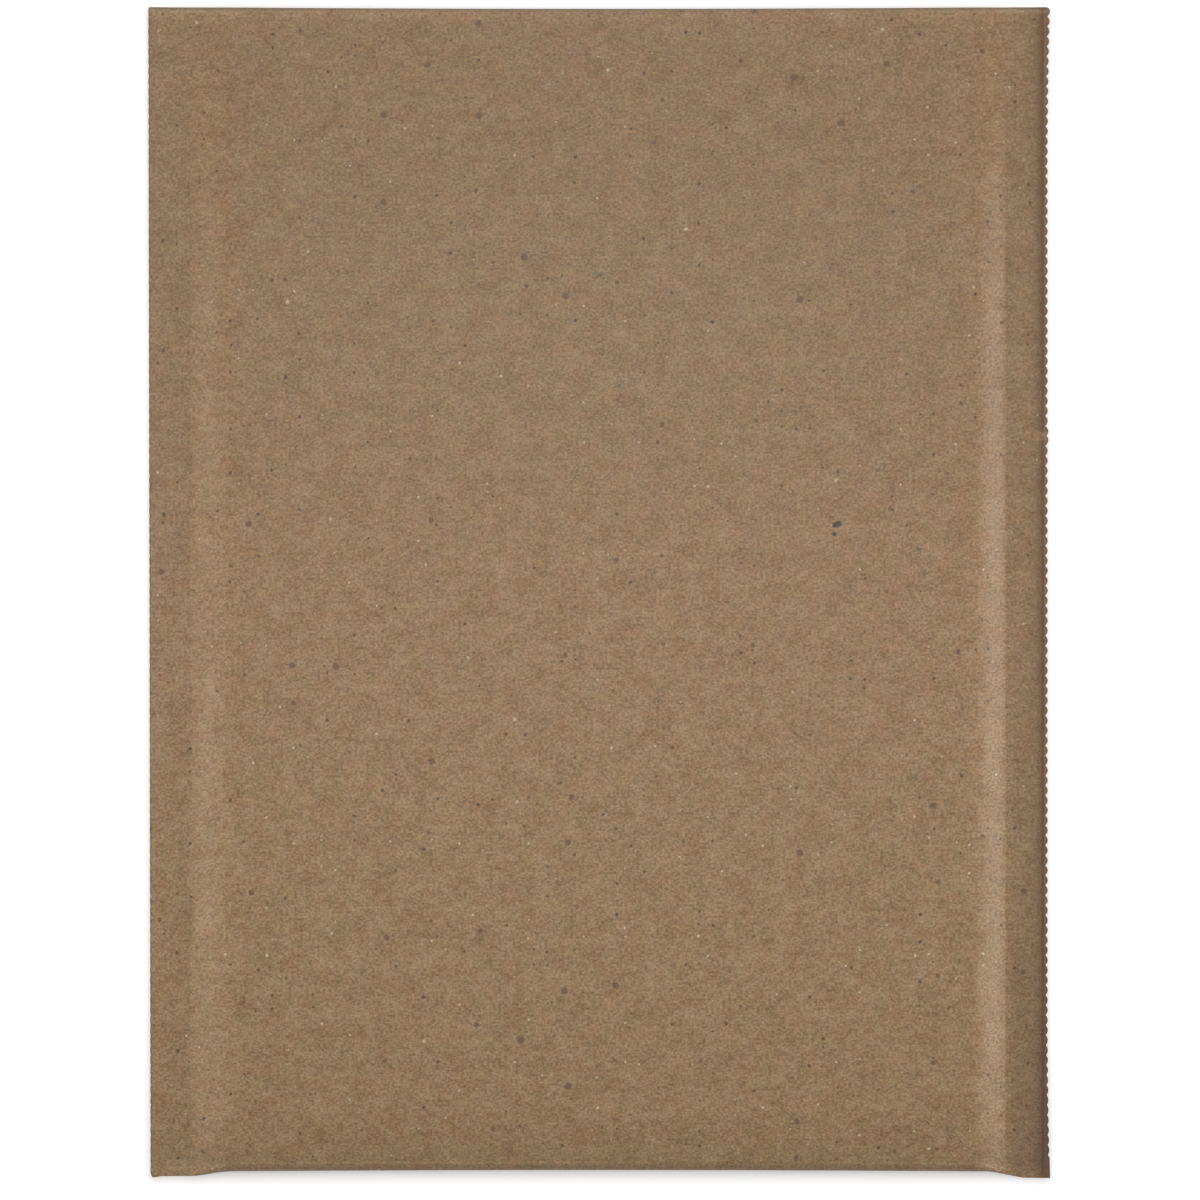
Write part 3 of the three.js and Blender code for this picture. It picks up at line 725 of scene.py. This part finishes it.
# Staggered bubbles: the height falls from the middle as the square root of 1 less the distance cubed.
column = np.round((lining_xs - COLUMN_X) / COLUMN_PITCH)
off_column = lining_xs - COLUMN_X - column * COLUMN_PITCH
along_column = paths / BUBBLE_PITCH + np.mod(column, 2) / 2
off_row = (along_column - np.round(along_column)) * BUBBLE_PITCH
from_top = np.minimum(1, np.hypot(off_column, off_row) / BUBBLE_RADIUS)
from_edge = np.minimum(np.minimum(lining_xs - LINING_LEFT, LINING_RIGHT - lining_xs), LINING_TOP - centre_ys)
dome = BUBBLE_HEIGHT * np.sqrt(1 - from_top ** 3) * ease(from_edge, 0, WELD)
film_outer = np.minimum(FILM_HALF + dome, free_room)
film_inner = np.minimum(INNER_HALF, film_outer * INNER_HALF / FILM_HALF)


def film_points(radius):
    """Points at a radius from the path down the middle: above it, round its end, and below it."""
    film_ys = centre_ys - radius * np.sin(angles)
    film_zs = PANEL_HALF + radius * np.cos(angles)
    film_xs = np.ones_like(radius) * lining_xs
    return np.stack([film_xs, film_ys, film_zs, film_xs, np.ones_like(radius) * paths, 0 * radius], -1)


kept_rows = every(len(paths), THINNED_ROWS)
lining_mesh = sheet_mesh("bubble_film_lining", film_points(film_outer), film_points(film_inner), kept_rows)

# Clear polyethylene: colourless, a little milky in patches, with a soft gloss.
polyethylene = bpy.data.materials.new("clear polyethylene film")
tree = new_tree(polyethylene)
metres = add(tree, "ShaderNodeTexCoord").outputs["Object"]
haze = add(tree, "ShaderNodeTexNoise", {"Vector": metres, "Scale": 1 / (14 * MM), "Detail": 3.0})
cloud = add(tree, "ShaderNodeMix", {"Factor": haze, "A": colour("#dfe6e9"), "B": colour("#f3f6f7")},
            data_type="RGBA")
milky = add(tree, "ShaderNodeMapRange", {"Value": haze, "From Min": 0.3, "From Max": 0.7, "To Max": 0.2},
            interpolation_type="SMOOTHSTEP")
film = add(tree, "ShaderNodeBsdfPrincipled", {
    "Base Color": cloud,
    "Roughness": add(tree, "ShaderNodeMath", {0: milky, 1: 0.12}, operation="ADD"),
    "Alpha": add(tree, "ShaderNodeMath", {0: milky, 1: 0.4}, operation="ADD"),
})
add(tree, "ShaderNodeOutputMaterial", {"Surface": film})

lining_mesh.materials.append(polyethylene)
lining_mesh.materials.append(polyethylene)
lining = bpy.data.objects.new("bubble_film_lining", lining_mesh)
bpy.context.scene.collection.objects.link(lining)
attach(lining, "root")
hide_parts("bubble_lining")


# Adhesive strip on the flap: a band of hot melt, laid down in fine streaks along the flap.
hot_melt = bpy.data.materials.new("hot melt adhesive")
tree = new_tree(hot_melt)
metres = add(tree, "ShaderNodeTexCoord").outputs["Object"]
drawn = add(tree, "ShaderNodeMapping", {"Vector": metres, "Scale": (0.08, 1, 1)})
streaks = add(tree, "ShaderNodeTexNoise", {"Vector": drawn, "Scale": 1 / (0.8 * MM), "Detail": 3.0})
amber = add(tree, "ShaderNodeMix", {"Factor": streaks, "A": colour("#dcd0b0"), "B": colour("#efe6cf")},
            data_type="RGBA")
ridges = add(tree, "ShaderNodeBump", {"Height": streaks, "Distance": 0.05 * MM})
sticky = add(tree, "ShaderNodeMapRange", {"Value": streaks, "From Min": 0.3, "From Max": 0.7, "To Max": 0.45},
             interpolation_type="SMOOTHSTEP")
tacky = add(tree, "ShaderNodeBsdfPrincipled", {"Base Color": amber, "Roughness": sticky, "Normal": ridges})
add(tree, "ShaderNodeOutputMaterial", {"Surface": tacky})
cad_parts["adhesive_strip"].material_slots[0].material = hot_melt


# Release liner over the adhesive: smooth paper with a silicone coat, slightly cockled.
coated = bpy.data.materials.new("silicone-coated paper")
tree = new_tree(coated)
metres = add(tree, "ShaderNodeTexCoord").outputs["Object"]
cockles = add(tree, "ShaderNodeTexNoise", {"Vector": metres, "Scale": 1 / (9 * MM), "Detail": 2.0})
cloudy = add(tree, "ShaderNodeTexNoise", {"Vector": metres, "Scale": 1 / (1.2 * MM), "Detail": 3.0})
white_paper = add(tree, "ShaderNodeMix", {"Factor": cloudy, "A": colour("#e6e3dc"), "B": colour("#f7f5f0")},
                  data_type="RGBA")
waves = add(tree, "ShaderNodeBump", {"Height": cockles, "Distance": 0.3 * MM})
satin = add(tree, "ShaderNodeMath", {0: cloudy, 1: 0.2, 2: 0.35}, operation="MULTIPLY_ADD")
silicone = add(tree, "ShaderNodeBsdfPrincipled", {
    "Base Color": white_paper, "Roughness": satin, "Normal": waves})
add(tree, "ShaderNodeOutputMaterial", {"Surface": silicone})
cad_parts["release_liner"].material_slots[0].material = coated
